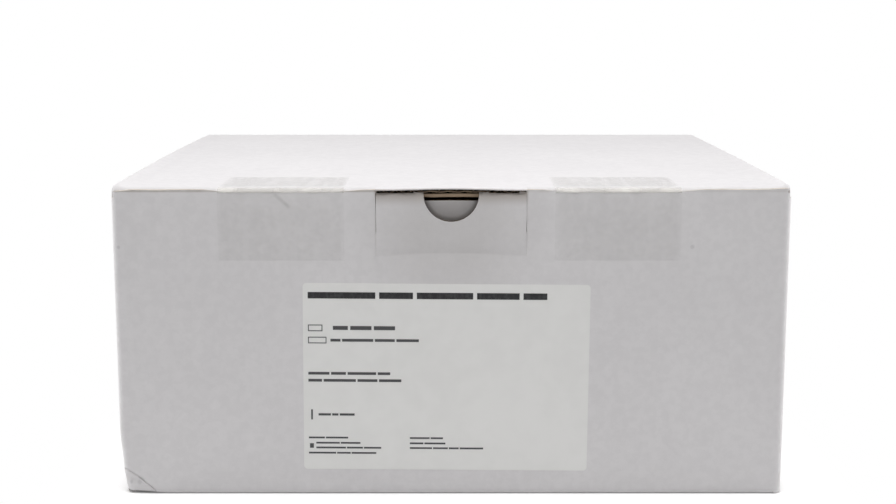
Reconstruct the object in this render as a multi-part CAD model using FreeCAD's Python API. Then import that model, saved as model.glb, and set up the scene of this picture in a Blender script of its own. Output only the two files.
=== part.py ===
"""A closed white corrugated carton: a folded tuck-top box with a thumb notch, two strips of tape
and a front label. Millimetres, +X to the right of the front wall, +Y to the back, +Z up, with the
origin at the middle of the base."""

import FreeCAD, Part
import math
import os

# ---- driving sizes of the carton ----
carton_width = 270.0  # outside, left to right
carton_depth = 245.0  # outside, front to back
carton_height = 126.5  # outside, floor to lid
board = 3.0  # thickness of the corrugated board
crease_radius = 0.4  # inside radius of every fold
touch_gap = 0.3  # air between two boards that only rest on each other
flap_gap = 1.0  # air between a flap's free edge and the wall beside it

# ---- top closure ----
seam_drop = 0.4  # lid's top face down to the front wall's top edge
corner_relief = 1.0  # the front wall's top edge stops this short of the side faces
lid_side_inset = 0.8  # lid's side edge in from the side wall's outer face
lid_crush_width = 2.6  # strip along the lid's side edges that the die has pressed down
lid_crush_drop = 0.9  # how far that strip falls
tuck_length = 36.0  # tuck flap, lid's top face down to its free edge
tuck_side_gap = 1.5  # tuck flap's side to the side wall's inner face
tuck_corner_radius = 12.0  # free corners of the tuck flap
dust_flap_length = 92.0  # side wall's outer face to the dust flap's free edge

# ---- finger slot in the lid's front fold, as wide as the tongue below it ----
slot_floor = 4.85  # lid's top face down to the tuck flap's cut edge
liner = 0.4  # outer paper of the board, where it stands proud of the cut
lip_setback = 0.3  # front face back to the liner's free edge
tab_rise = 0.25  # the lid's cut edge bows up this far in the middle
tab_sag = 0.45  # and falls this far at its ends
tab_swell = 0.7  # the cut edge has opened up by this much at the middle
tab_side_gap = 0.3  # cut at each end of the lid's tab

# ---- tongue in the front wall ----
tongue_width = 60.0  # between the middles of its two slits
slit_width = 0.5
slit_depth = 27.0  # lid's top face down to the ends of the slits
tongue_drop = 1.2  # front wall's top edge down to the tongue's
tongue_lean = 0.6  # the tongue's top edge stands out this far
tongue_edge_radius = 1.5  # crushed outer top edge of the tongue
notch_radius = 11.0  # thumb notch
notch_depth = 13.1  # lid's top face down to the notch's lowest point
score_rise = 1.6  # the tongue's score line arches up this far between the slits
score_width = 0.8
score_depth = 0.25

# ---- base ----
base_seam = 1.0  # gap between the two outer base flaps
base_flap_length = 100.0  # side wall's outer face to the inner base flap's free edge
corner_lift = 1.0  # floor up to the end of each upright fold

# ---- glued joint at the back left corner ----
glue_tab_length = 32.0
glue_tab_gap = 0.5  # tab's ends to the folds above and below it
joint_setback = 1.0  # back face in to the left wall's raw edge

# ---- crushed bottom left front corner ----
crush_up = 12.0
crush_across = 11.0
crush_back = 11.0

# ---- tape strips ----
tape_width = 50.0
tape_thickness = 0.1
tape_down = 29.0  # lid's top face down to the strip's end on the front wall
tape_over = 38.0  # front face back to the strip's end on the lid
tape_left_middle = -67.6
tape_right_middle = 66.2
tape_lift_off = 0.9  # the strip leaves the lid this far ahead of the front fold
edge_softness = 0.6  # rounded outer top edge of the front wall, under the strips

# ---- label ----
label_width = 115.0
label_height = 77.0
label_thickness = 0.1
label_corner = 1.5
label_offset = -2.1  # middle of the label from the middle of the front wall
label_base = 10.2  # floor to the label's lower edge
label_turn = 0.4  # degrees, right side lower

# ---- print on the label: plain bars and frames, laid out on a sheet of even steps ----
ink = 0.05  # thickness of the printed shapes
print_margin = 2.0  # label's left edge to the printed lines
steps_across = 115  # the label's width in steps
steps_down = 77  # its height in steps
bar_space = 0.6  # gap between two bars of a line, as a share of the bars' height
bar_space_least = 0.4  # in steps
frame_stroke = 0.35  # in steps

# ---- places that follow from them ----
fold_radius = board + crease_radius
half_width = carton_width / 2
front = -carton_depth / 2
back = carton_depth / 2
top = carton_height
side_fold = half_width - fold_radius  # middle of the upright folds, either side
front_fold = front + fold_radius
back_fold = back - fold_radius
front_top = top - seam_drop
slot_half = tongue_width / 2
tuck_face = front + board + touch_gap  # tuck flap's outer face
tuck_fold = tuck_face + fold_radius  # middle of the lid's front fold
lid_fold_height = top - fold_radius
side_rim = lid_fold_height - touch_gap  # raw top edge of the side walls beside the dust flaps
dust_top = top - board - touch_gap
dust_fold_height = dust_top - fold_radius
base_fold_height = board + fold_radius  # fold of the inner base flaps
lid_half = half_width - lid_side_inset
joint_fold = -half_width + board + fold_radius  # fold of the back wall into the glue tab
glue_tab_low = base_fold_height + glue_tab_gap
glue_tab_high = dust_fold_height - glue_tab_gap
seam_height = top - slit_depth
step_across = label_width / steps_across
step_down = label_height / steps_down


def box(x0, x1, y0, y1, z0, z1):
    """A block between two corners."""
    return Part.makeBox(x1 - x0, y1 - y0, z1 - z0, FreeCAD.Vector(x0, y0, z0))


def place(plane, a, b, level):
    """The point (a, b) of a drawing plane, at a level along the plane's normal."""
    if plane == "yz":
        return FreeCAD.Vector(level, a, b)
    if plane == "xz":
        return FreeCAD.Vector(a, level, b)
    return FreeCAD.Vector(a, b, level)


def extrude(edges, plane, level, end):
    """A solid from a closed outline drawn at level, drawn out to end."""
    face = Part.Face(Part.Wire(edges))
    return face.extrude(place(plane, 0, 0, end) - place(plane, 0, 0, level))


def line(plane, level, start, end):
    return Part.LineSegment(place(plane, *start, level), place(plane, *end, level)).toShape()


def arc(plane, level, start, middle, end):
    points = [place(plane, *point, level) for point in (start, middle, end)]
    return Part.Arc(*points).toShape()


def fold(plane, centre, side_a, side_b, level, end):
    """A quarter turn of board about centre, from the side_a direction to the side_b direction."""
    a, b = centre
    diagonal = math.sqrt(0.5)
    outer = [
        (a + side_a * fold_radius, b),
        (a + side_a * fold_radius * diagonal, b + side_b * fold_radius * diagonal),
        (a, b + side_b * fold_radius),
    ]
    inner = [
        (a, b + side_b * crease_radius),
        (a + side_a * crease_radius * diagonal, b + side_b * crease_radius * diagonal),
        (a + side_a * crease_radius, b),
    ]
    edges = [
        arc(plane, level, *outer),
        line(plane, level, outer[2], inner[0]),
        arc(plane, level, *inner),
        line(plane, level, inner[2], outer[0]),
    ]
    return extrude(edges, plane, level, end)


def tongue_window():
    """The part of the front wall that the two slits set free, cut out before the tongue goes in."""
    half = (tongue_width + slit_width) / 2
    return box(-half, half, front - board, front + 2 * board, seam_height, top + board)


def front_wall():
    """Flat front panel with its softened top edge, its base fold and its two upright folds."""
    soft = edge_softness
    diagonal = soft * (1 - math.sqrt(0.5))
    outline = [
        (front, fold_radius),
        (front, front_top - soft),
        (front + diagonal, front_top - diagonal),
        (front + soft, front_top),
        (front + board, front_top),
        (front + board, fold_radius),
    ]
    edges = [
        line("yz", -side_fold, outline[0], outline[1]),
        arc("yz", -side_fold, outline[1], outline[2], outline[3]),
        line("yz", -side_fold, outline[3], outline[4]),
        line("yz", -side_fold, outline[4], outline[5]),
        line("yz", -side_fold, outline[5], outline[0]),
    ]
    pieces = [
        extrude(edges, "yz", -side_fold, side_fold).cut(tongue_window()),
        fold("yz", (front_fold, fold_radius), -1, -1, -side_fold, side_fold),
    ]
    for side in (-1, 1):
        pieces.append(fold("xy", (side * side_fold, front_fold), side, -1, corner_lift, side_rim))
        rim = fold("xy", (side * side_fold, front_fold), side, -1, side_rim, front_top)
        relief = half_width - corner_relief
        kept = box(-relief, relief, front, front + board, side_rim, front_top)
        pieces.append(rim.common(kept))
    return pieces


def tongue():
    """The leaning tongue between the slits, with its crushed top edge and its thumb notch."""
    half = (tongue_width - slit_width) / 2
    high = front_top - tongue_drop
    soft = tongue_edge_radius
    lean_below_edge = tongue_lean * (high - soft - seam_height) / (high - seam_height)
    outer = front - lean_below_edge
    diagonal = soft * (1 - math.sqrt(0.5))
    outline = [
        (front, seam_height),
        (outer, high - soft),
        (outer + diagonal, high - diagonal),
        (outer + soft, high),
        (front - tongue_lean + board, high),
        (front + board, seam_height),
    ]
    edges = [
        line("yz", -half, outline[0], outline[1]),
        arc("yz", -half, outline[1], outline[2], outline[3]),
        line("yz", -half, outline[3], outline[4]),
        line("yz", -half, outline[4], outline[5]),
        line("yz", -half, outline[5], outline[0]),
    ]
    panel = extrude(edges, "yz", -half, half)
    middle = FreeCAD.Vector(0, front - board, top - notch_depth + notch_radius)
    notch = Part.makeCylinder(notch_radius, 3 * board, middle, FreeCAD.Vector(0, 1, 0))
    return panel.cut(notch)


def score_line():
    """The shallow arched crease across the foot of the tongue, as a cutter."""
    half = tongue_width / 2
    radius = (half**2 + score_rise**2) / (2 * score_rise)
    centre = FreeCAD.Vector(0, front - board, seam_height + score_rise - radius)
    along = FreeCAD.Vector(0, 1, 0)
    reach = board + score_depth
    ring = Part.makeCylinder(radius + score_width / 2, reach, centre, along)
    ring = ring.cut(Part.makeCylinder(radius - score_width / 2, reach, centre, along))
    return ring.common(box(-half, half, front - board, front + board, seam_height, top))


def side_wall(side):
    """One side wall with its dust flap above and its inner base flap below."""
    outer = side * half_width
    inner = side * (half_width - board)
    x0, x1 = min(outer, inner), max(outer, inner)
    dust_front = tuck_face + board + flap_gap
    dust_back = back - board - flap_gap
    base_front = front + board + flap_gap
    base_back = back - board - flap_gap
    wall_back = back_fold if side > 0 else back - joint_setback
    pieces = [
        box(x0, x1, front_fold, wall_back, base_fold_height, dust_fold_height),
        box(x0, x1, front_fold, dust_front, dust_fold_height, side_rim),
        box(x0, x1, dust_back, wall_back, dust_fold_height, side_rim),
        box(x0, x1, front_fold, base_front, board + touch_gap, base_fold_height),
        box(x0, x1, base_back, wall_back, board + touch_gap, base_fold_height),
        fold("xz", (side * side_fold, dust_fold_height), side, 1, dust_front, dust_back),
        fold("xz", (side * side_fold, base_fold_height), side, -1, base_front, base_back),
    ]
    start = side * side_fold
    dust_end = side * (half_width - dust_flap_length)
    base_end = side * (half_width - base_flap_length)
    x0, x1 = min(start, dust_end), max(start, dust_end)
    pieces.append(box(x0, x1, dust_front, dust_back, dust_top - board, dust_top))
    x0, x1 = min(start, base_end), max(start, base_end)
    pieces.append(box(x0, x1, base_front, base_back, board, 2 * board))
    return pieces


def back_wall():
    """Back panel with its lid fold, its base fold, its right upright fold and the glued joint."""
    beside_tab = -half_width + board + touch_gap
    tab_face = -half_width + board
    tab_back = back_fold - glue_tab_length
    return [
        box(joint_fold, side_fold, back - board, back, fold_radius, lid_fold_height),
        box(beside_tab, joint_fold, back - board, back, fold_radius, glue_tab_low),
        box(beside_tab, joint_fold, back - board, back, glue_tab_high, lid_fold_height),
        fold("xy", (side_fold, back_fold), 1, 1, corner_lift, side_rim),
        fold("yz", (back_fold, fold_radius), 1, -1, beside_tab, side_fold),
        fold("yz", (back_fold, lid_fold_height), 1, 1, beside_tab, side_fold),
        fold("xy", (joint_fold, back_fold), -1, 1, glue_tab_low, glue_tab_high),
        box(tab_face, tab_face + board, tab_back, back_fold, glue_tab_low, glue_tab_high),
    ]


def base_flaps():
    """The two outer base flaps, which meet at a seam across the middle of the base."""
    left = -half_width + board + touch_gap
    return [
        box(-side_fold, side_fold, front_fold, -base_seam / 2, 0, board),
        box(left, side_fold, base_seam / 2, back_fold, 0, board),
    ]


def lid():
    """Flat lid with the pressed-down strips along its side edges."""
    under = top - board
    flat = lid_half - lid_crush_width
    outline = [
        (-lid_half, under),
        (-lid_half, top - lid_crush_drop),
        (-flat, top),
        (flat, top),
        (lid_half, top - lid_crush_drop),
        (lid_half, under),
    ]
    bend = lid_half - lid_crush_width / 3
    bend_height = top - lid_crush_drop / 3
    edges = [
        line("xz", tuck_fold, outline[0], outline[1]),
        arc("xz", tuck_fold, outline[1], (-bend, bend_height), outline[2]),
        line("xz", tuck_fold, outline[2], outline[3]),
        arc("xz", tuck_fold, outline[3], (bend, bend_height), outline[4]),
        line("xz", tuck_fold, outline[4], outline[5]),
        line("xz", tuck_fold, outline[5], outline[0]),
    ]
    return extrude(edges, "xz", tuck_fold, back_fold)


def tuck_flap():
    """The lid's front fold, either side of the finger slot, and the flap behind the front wall."""
    half = half_width - board - tuck_side_gap
    low = top - tuck_length
    radius = tuck_corner_radius
    diagonal = radius * (1 - math.sqrt(0.5))
    right = [(half, low + radius), (half - diagonal, low + diagonal), (half - radius, low)]
    left = [(-half + radius, low), (-half + diagonal, low + diagonal), (-half, low + radius)]
    edges = [
        line("xz", tuck_face, (-half, lid_fold_height), (half, lid_fold_height)),
        line("xz", tuck_face, (half, lid_fold_height), right[0]),
        arc("xz", tuck_face, *right),
        line("xz", tuck_face, right[2], left[0]),
        arc("xz", tuck_face, *left),
        line("xz", tuck_face, left[2], (-half, lid_fold_height)),
    ]
    flap = extrude(edges, "xz", tuck_face, tuck_face + board)
    slot_low = top - slot_floor
    opening = box(-slot_half, slot_half, tuck_face, tuck_face + board, slot_low, top)
    centre = (tuck_fold, lid_fold_height)
    return [
        flap.cut(opening),
        fold("yz", centre, -1, 1, -lid_half, -slot_half),
        fold("yz", centre, -1, 1, slot_half, lid_half),
    ]


def tab_outline(level, rise, sag, low_middle, low_end):
    """Cross-section of the lid's tab: its upper and lower lines are arcs between its two ends."""
    half = slot_half - tab_side_gap
    ends = [(-half, top - sag), (half, top - sag)]
    feet = [(half, low_end), (-half, low_end)]
    edges = [
        arc("xz", level, ends[0], (0, top + rise), ends[1]),
        line("xz", level, ends[1], feet[0]),
        arc("xz", level, feet[0], (0, low_middle), feet[1]),
        line("xz", level, feet[1], ends[0]),
    ]
    return Part.Wire(edges)


def lid_tab():
    """The lid's raw edge in the finger slot: bowed, opened up, with its top liner standing proud."""
    hair = 0.01  # the loft needs a true arc where the tab leaves the flat lid
    under = top - board
    root = tab_outline(tuck_fold, -hair / 2, hair, under - hair / 2, under)
    edge = tab_outline(tuck_face, tab_rise, tab_sag, under - tab_swell, under - tab_sag)
    tab = Part.makeLoft([root, edge], True, True)
    lip_low = top + tab_rise - liner
    lip = tab_outline(tuck_face, tab_rise, tab_sag, lip_low, top - tab_sag - liner)
    reach = FreeCAD.Vector(0, front + lip_setback - tuck_face, 0)
    return [tab, Part.Face(lip).extrude(reach)]


def crush_tools():
    """The block that takes the crushed corner off, and the patch of board that closes it."""
    corner = FreeCAD.Vector(-half_width, front, 0)
    inward = FreeCAD.Vector(1 / crush_across, 1 / crush_back, 1 / crush_up)
    distance = 1 / inward.Length
    inward.normalize()
    size = 3 * max(crush_up, crush_across, crush_back)
    turn = FreeCAD.Rotation(FreeCAD.Vector(0, 0, 1), inward)
    base = corner + inward * distance
    removed = Part.makeBox(size, size, size, FreeCAD.Vector(-size / 2, -size / 2, -size))
    patch = Part.makeBox(size, size, board, FreeCAD.Vector(-size / 2, -size / 2, 0))
    for tool in (removed, patch):
        tool.Placement = FreeCAD.Placement(base, turn)
    return removed, patch.common(envelope())


def envelope():
    """The carton's outside as a block with its upright and base edges rounded as its folds are."""
    block = box(-half_width, half_width, front, back, 0, top)
    rounded = []
    for edge in block.Edges:
        upright = abs(edge.tangentAt(edge.FirstParameter).z) > 0.5
        at_base = edge.CenterOfMass.z < board
        if upright or at_base:
            rounded.append(edge)
    return block.makeFillet(fold_radius, rounded)


def carton():
    """The folded carton as one solid."""
    pieces = front_wall() + [tongue()] + back_wall() + base_flaps()
    pieces += side_wall(-1) + side_wall(1) + tuck_flap() + [lid()] + lid_tab()
    body = pieces[0].fuse(pieces[1:]).cut(score_line())
    removed, patch = crush_tools()
    return body.cut(removed).fuse(patch).removeSplitter()


def tape(middle):
    """A strip of tape that lies on the lid, bends over its front edge and lies on the front wall."""
    level = middle - tape_width / 2
    soft = edge_softness
    skin = soft + tape_thickness
    bend = (front + soft, front_top - soft)
    lift = tuck_fold - tape_lift_off
    rear = front + tape_over
    foot = top - tape_down
    diagonal = math.sqrt(0.5)
    inner = [
        (rear, top),
        (lift, top),
        (bend[0], front_top),
        (bend[0] - soft * diagonal, bend[1] + soft * diagonal),
        (front, bend[1]),
        (front, foot),
    ]
    outer = [
        (front - tape_thickness, foot),
        (front - tape_thickness, bend[1]),
        (bend[0] - skin * diagonal, bend[1] + skin * diagonal),
        (bend[0], front_top + tape_thickness),
        (lift, top + tape_thickness),
        (rear, top + tape_thickness),
    ]
    edges = [
        line("yz", level, inner[0], inner[1]),
        line("yz", level, inner[1], inner[2]),
        arc("yz", level, inner[2], inner[3], inner[4]),
        line("yz", level, inner[4], inner[5]),
        line("yz", level, inner[5], outer[0]),
        line("yz", level, outer[0], outer[1]),
        arc("yz", level, outer[1], outer[2], outer[3]),
        line("yz", level, outer[3], outer[4]),
        line("yz", level, outer[4], outer[5]),
        line("yz", level, outer[5], inner[0]),
    ]
    return extrude(edges, "yz", level, middle + tape_width / 2)


def on_label(shape):
    """Turns a shape drawn square to the front wall by the label's small tilt."""
    middle = FreeCAD.Vector(label_offset, front, label_base + label_height / 2)
    turned = shape.copy()
    turned.rotate(middle, FreeCAD.Vector(0, 1, 0), label_turn)
    return turned


def label():
    """A paper label with rounded corners, flat on the front wall."""
    left = label_offset - label_width / 2
    high = label_base + label_height
    sheet = box(left, left + label_width, front - label_thickness, front, label_base, high)
    corners = [edge for edge in sheet.Edges if abs(edge.tangentAt(edge.FirstParameter).y) > 0.5]
    return on_label(sheet.makeFillet(label_corner, corners))


def printed_bar(across, below, length, height):
    """One plain bar of ink, placed in steps from the print margin and the label's upper edge."""
    left = label_offset - label_width / 2 + print_margin + across * step_across
    right = left + length * step_across
    high = label_base + label_height - below * step_down
    low = high - height * step_down
    face = front - label_thickness
    return box(left, right, face - ink, face, low, high)


def printed_frame(across, below, length, height):
    """A plain rectangular outline of ink."""
    stroke = frame_stroke
    outside = printed_bar(across, below, length, height)
    return outside.cut(
        printed_bar(across + stroke, below + stroke, length - 2 * stroke, height - 2 * stroke)
    )


def printed_line(across, below, height, lengths):
    """A row of bars, spaced as words are."""
    bars = []
    for length in lengths:
        bars.append(printed_bar(across, below, length, height))
        across += length + max(bar_space * height, bar_space_least)
    return bars


def label_print():
    """Plain bars that stand for lines of print, and two empty frames. They spell nothing."""
    title = printed_line(0.0, 3.6, 2.6, (27.0, 13.5, 22.5, 17.0, 9.5))
    shapes = title + [
        printed_frame(0.0, 16.9, 5.8, 2.7),
        printed_frame(0.0, 21.9, 7.4, 2.7),
        printed_bar(1.0, 52.0, 0.7, 4.2),
        printed_bar(0.4, 66.2, 1.6, 1.9),
    ]
    small_lines = [
        # in steps: from the margin, from the label's upper edge, height, lengths of the bars
        (10.0, 17.4, 1.6, (6.0, 8.5, 8.5)),
        (9.0, 22.7, 1.1, (4.0, 12.5, 8.0, 9.0)),
        (0.0, 36.4, 1.1, (8.5, 6.0, 11.5, 5.0)),
        (0.0, 39.3, 1.1, (5.5, 13.0, 8.0, 9.0)),
        (4.0, 53.6, 0.9, (5.0, 2.5, 6.0)),
        (0.0, 63.4, 0.7, (6.5, 9.0)),
        (3.0, 65.6, 0.7, (9.5, 8.0)),
        (3.0, 67.6, 0.7, (12.0, 6.5, 7.0)),
        (0.0, 69.8, 0.7, (11.0, 5.5, 10.0)),
        (41.0, 63.4, 0.7, (8.0, 5.0)),
        (41.0, 65.6, 0.7, (5.5, 8.5)),
        (41.0, 67.6, 0.7, (9.0, 6.0, 4.0, 9.5)),
    ]
    for small_line in small_lines:
        shapes += printed_line(*small_line)
    return on_label(Part.makeCompound(shapes))


def main():
    os.makedirs("parts", exist_ok=True)
    nodes = {
        "carton": carton(),
        "tape_left": tape(tape_left_middle),
        "tape_right": tape(tape_right_middle),
        "label": label(),
        "label_print": label_print(),
    }
    for name, shape in nodes.items():
        valid = "valid" if shape.isValid() else "NOT VALID"
        print(name, valid, "solids", len(shape.Solids), "volume", round(shape.Volume, 2))
        shape.exportStep(f"parts/{name}.step")


main()
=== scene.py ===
"""A closed white corrugated carton with a tuck-in lid, a thumb notch, two strips of tape and a
label. Pieces are drawn in millimetres and brought to metres when they are done."""
import math

import bmesh
import bpy
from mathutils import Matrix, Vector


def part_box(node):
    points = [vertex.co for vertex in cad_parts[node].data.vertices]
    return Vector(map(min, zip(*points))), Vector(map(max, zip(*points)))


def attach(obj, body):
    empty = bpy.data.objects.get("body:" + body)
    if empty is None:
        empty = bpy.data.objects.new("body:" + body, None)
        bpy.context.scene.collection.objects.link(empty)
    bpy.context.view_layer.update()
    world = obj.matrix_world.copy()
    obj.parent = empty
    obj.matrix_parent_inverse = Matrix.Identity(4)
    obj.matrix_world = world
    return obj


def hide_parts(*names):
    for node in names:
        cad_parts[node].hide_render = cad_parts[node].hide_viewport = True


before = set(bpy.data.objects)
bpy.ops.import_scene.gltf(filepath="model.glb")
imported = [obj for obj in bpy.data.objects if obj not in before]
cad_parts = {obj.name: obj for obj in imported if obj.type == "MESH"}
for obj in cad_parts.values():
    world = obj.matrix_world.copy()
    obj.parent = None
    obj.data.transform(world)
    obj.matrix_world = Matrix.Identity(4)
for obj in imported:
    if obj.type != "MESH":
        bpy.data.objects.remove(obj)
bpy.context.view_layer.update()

mm = 0.001

# ---- the carton's own sizes, in millimetres ----
half_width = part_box("carton")[1].x / mm
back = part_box("carton")[1].y / mm
front = -back
edge_lift = 1.3  # the lid's side edges are pushed up this much by the flaps under them
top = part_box("carton")[1].z / mm - edge_lift
board = 3.0
fold_radius = 3.4
fold_steps = 6
seam_drop = 0.4  # lid's top face down to the front wall's top edge
touch_gap = 0.3  # between faces that rest on each other
tuck_length = 36.0  # lid's top face down to the tuck flap's free edge
tuck_half = half_width - board - 1.5
tuck_corner = 12.0  # size of its rounded corners
dust_reach = 92.0  # side wall to the dust flap's free edge
base_reach = 100.0  # side wall to the inner base flap's free edge
slot_floor = 5.2  # lid's top face down to the tuck flap's edge between the slits
lid_half = half_width - 0.4
tongue_half = 29.77
slit_width = 0.3  # at the slits' upper ends, on the left
right_slit_width = 0.15
slit_end = 0.03  # how narrow each slit is at its lower end
slit_depth = 27.0  # lid's top face down to the slits' lower ends
tongue_drop = 0.8  # front wall's top edge down to the tongue's
notch_radius = 11.0
notch_depth = 13.1  # lid's top face down to the notch's lowest point
notch_middle = top - notch_depth + notch_radius
base_seam = 1.0  # gap between the two outer base flaps
corner_lift = 0.3  # floor to the raw lower ends of the upright folds
glue_tab_length = 32.0
glue_tab_low = 6.9
glue_tab_high = 119.3
joint_setback = 1.0  # back face in to the left wall's raw edge
flute_pitch = 6.9
liner = 0.4  # thickness of the liner along the lid's front edge
score_rise = 1.6  # the tongue's fold line arches up by this in its middle
score_dip = 0.16  # depth of that fold line
tape_reach = ((-92.6, -42.6), (41.2, 91.2))  # left and right edge of each strip
tape_half = 25.0
tape_low = 96.7  # floor to the strips' lower ends
tape_back = -84.0  # where the strips end on the lid
film_face = -122.6  # outer face of the film on the front wall
crush_up = 12.4  # height of the crushed corner's crease on the corner itself
crush_way = (0.475, 0.607, 0.637)  # square to the crushed corner's crease plane
crush_push = 0.5  # how far a point is pushed for each millimetre beyond the crease
crush_shift = (0.39, 0.2, 0.06)  # the way it is pushed
wall_core = -121.0  # middle of the front wall's board
wall_inside = -120.0  # just short of the front wall's inner face

front_top = top - seam_drop
tongue_top = front_top - tongue_drop
edge_row = front_top - 2.3
side_fold = half_width - fold_radius
front_fold = front + fold_radius
back_fold = back - fold_radius
tuck_face = front + board + touch_gap
tuck_fold = tuck_face + fold_radius
seam_height = top - slit_depth
slot_half = tongue_half + slit_width / 2
dust_top = top - board - touch_gap
side_rim = dust_top - 0.4  # raw top edge of the side walls beside the dust flaps
dust_front = tuck_face + board + 1.0
dust_back = back - board - 1.0
inner_base = board + 0.05
inner_base_end = back - board - 1.0
side_raw = board + touch_gap
slit_top = fold_radius + 0.1  # the base's corner slits end just above the fold
slit_side = inner_base + fold_radius + 0.1
slit_dust = dust_top - fold_radius - 0.1
wall_rows = [8.0 + 9.0 * k for k in range(10)] + [107.0, 115.0]
wall_columns = [9.0 * k for k in range(-14, 15)]
lid_rows = [9.0 * k for k in range(-12, 14)]


# ---------------------------------------------------------------- modelling by hand ----
def choose(*pieces):
    """Selects these pieces alone, and makes the last of them the active one."""
    bpy.ops.object.select_all(action="DESELECT")
    for piece in pieces:
        piece.select_set(True)
    bpy.context.view_layer.objects.active = pieces[-1]


def edit(piece):
    """Opens one piece for editing, with nothing selected in it."""
    choose(piece)
    bpy.ops.object.mode_set(mode="EDIT")
    bpy.ops.mesh.select_all(action="DESELECT")


def close():
    bpy.ops.object.mode_set(mode="OBJECT")


def middle_and_way(edge):
    start, end = (vert.co for vert in edge.verts)
    return (start + end) / 2, (end - start).normalized()


def pick(kind, test):
    """Selects the vertices, edges or faces whose middle, and direction or normal, pass a test."""
    bpy.ops.mesh.select_mode(type=kind)
    bpy.ops.mesh.select_all(action="DESELECT")
    data = bpy.context.object.data
    mesh = bmesh.from_edit_mesh(data)
    if kind == "VERT":
        found = [vert for vert in mesh.verts if test(vert.co)]
    elif kind == "EDGE":
        found = [edge for edge in mesh.edges if test(*middle_and_way(edge))]
    else:
        found = [face for face in mesh.faces if test(face.calc_center_median(), face.normal)]
    for part in found:
        part.select_set(True)
    bmesh.update_edit_mesh(data)
    return len(found)


def near(value, goal, slack=0.02):
    return abs(value - goal) < slack


def remove(test):
    if pick("FACE", test):
        bpy.ops.mesh.delete(type="FACE")


def pull(test, *moves):
    """Draws the picked edges out into new faces, one step after another."""
    pick("EDGE", test)
    for move in moves:
        bpy.ops.mesh.extrude_region_move(TRANSFORM_OT_translate={"value": move})


def cut(axis, level, test):
    """Cuts the picked faces along a plane square to an axis."""
    point = [0.0, 0.0, 0.0]
    normal = [0.0, 0.0, 0.0]
    point["xyz".index(axis)] = level
    normal["xyz".index(axis)] = 1.0
    if pick("FACE", test):
        bpy.ops.mesh.bisect(plane_co=point, plane_no=normal, threshold=0.001)


def slit(test):
    if pick("EDGE", test):
        bpy.ops.mesh.edge_split(type="EDGE")


def crease(test, radius=fold_radius, steps=fold_steps, profile=0.5):
    """Rounds the picked fold lines."""
    if pick("EDGE", test):
        bpy.ops.mesh.bevel(offset=radius, segments=steps, profile=profile, affect="EDGES")


def shift(test, move, reach=0.0, falloff="SMOOTH"):
    """Moves the picked points, and what lies within reach of them with a falloff."""
    if not pick("VERT", test):
        return
    if reach:
        bpy.ops.transform.translate(
            value=move,
            use_proportional_edit=True,
            proportional_edit_falloff=falloff,
            proportional_size=reach,
            use_proportional_connected=True,
        )
    else:
        bpy.ops.transform.translate(value=move)


def sheet(name, size, place, turn=(0.0, 0.0, 0.0)):
    """A flat piece at its size and place, in millimetres."""
    bpy.ops.mesh.primitive_plane_add(size=1, location=place, rotation=turn)
    piece = bpy.context.object
    piece.name = name
    piece.data.name = name
    piece.scale = (size[0], size[1], 1.0)
    bpy.ops.object.transform_apply(location=True, rotation=True, scale=True)
    return piece


def apply_all(piece):
    choose(piece)
    for modifier in list(piece.modifiers):
        bpy.ops.object.modifier_apply(modifier=modifier.name)


def thicken(piece, thickness, offset=-1.0):
    """Gives a sheet its thickness, inwards of its face unless another offset is given."""
    solidify = piece.modifiers.new("thick", "SOLIDIFY")
    solidify.thickness = thickness
    solidify.offset = offset
    return solidify


def done(piece, materials, sharp=35.0):
    """Brings a piece to metres, shades it and lets it ride with the carton."""
    choose(piece)
    piece.scale = (mm, mm, mm)
    bpy.ops.object.transform_apply(location=False, rotation=False, scale=True)
    bpy.ops.object.shade_smooth_by_angle(angle=math.radians(sharp))
    for material in materials:
        piece.data.materials.append(material)
    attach(piece, "root")


# ---------------------------------------------------------------- the folded board ----
def on_front(p):
    return near(p.y, front)


def on_back(p):
    return near(p.y, back)


def on_side(p):
    return near(abs(p.x), half_width)


def sleeve():
    """The four walls round the carton, with the glue tab inside the back left corner."""
    piece = sheet(
        "carton_board",
        (2 * half_width, front_top),
        (0.0, front, front_top / 2),
        (math.pi / 2, 0.0, 0.0),
    )
    tab_face = -half_width + board + 0.1
    edit(piece)
    pull(lambda p, d: near(p.x, half_width), (0, 2 * back, 0))
    pull(lambda p, d: on_back(p) and near(p.x, half_width), (tab_face - half_width, 0, 0))
    pull(lambda p, d: on_back(p) and near(p.x, tab_face), (0, -fold_radius - glue_tab_length, 0))
    pull(lambda p, d: on_front(p) and near(p.x, -half_width), (0, 2 * back - joint_setback, 0))
    crease(
        lambda p, d: abs(d.z) > 0.9
        and (
            (on_side(p) and on_front(p))
            or (near(p.x, half_width) and on_back(p))
            or (near(p.x, tab_face) and on_back(p))
        )
    )
    for level in wall_rows:
        cut("z", level, lambda p, n: True)
    for level in wall_columns:
        cut("x", level, lambda p, n: abs(n.y) > 0.9)
        cut("y", level * 8 / 9, lambda p, n: abs(n.x) > 0.9)
    return piece


def in_arc(p):
    """On one of the upright folds of the front wall or of the right back corner."""
    return abs(p.x) > side_fold + 0.02 and abs(p.y) > back_fold + 0.02 and not (p.x < 0 < p.y)


def at_joint(p):
    return p.x < -half_width + board + fold_radius + 0.02 and p.y > 80.0 and p.x > -132.5


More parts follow.
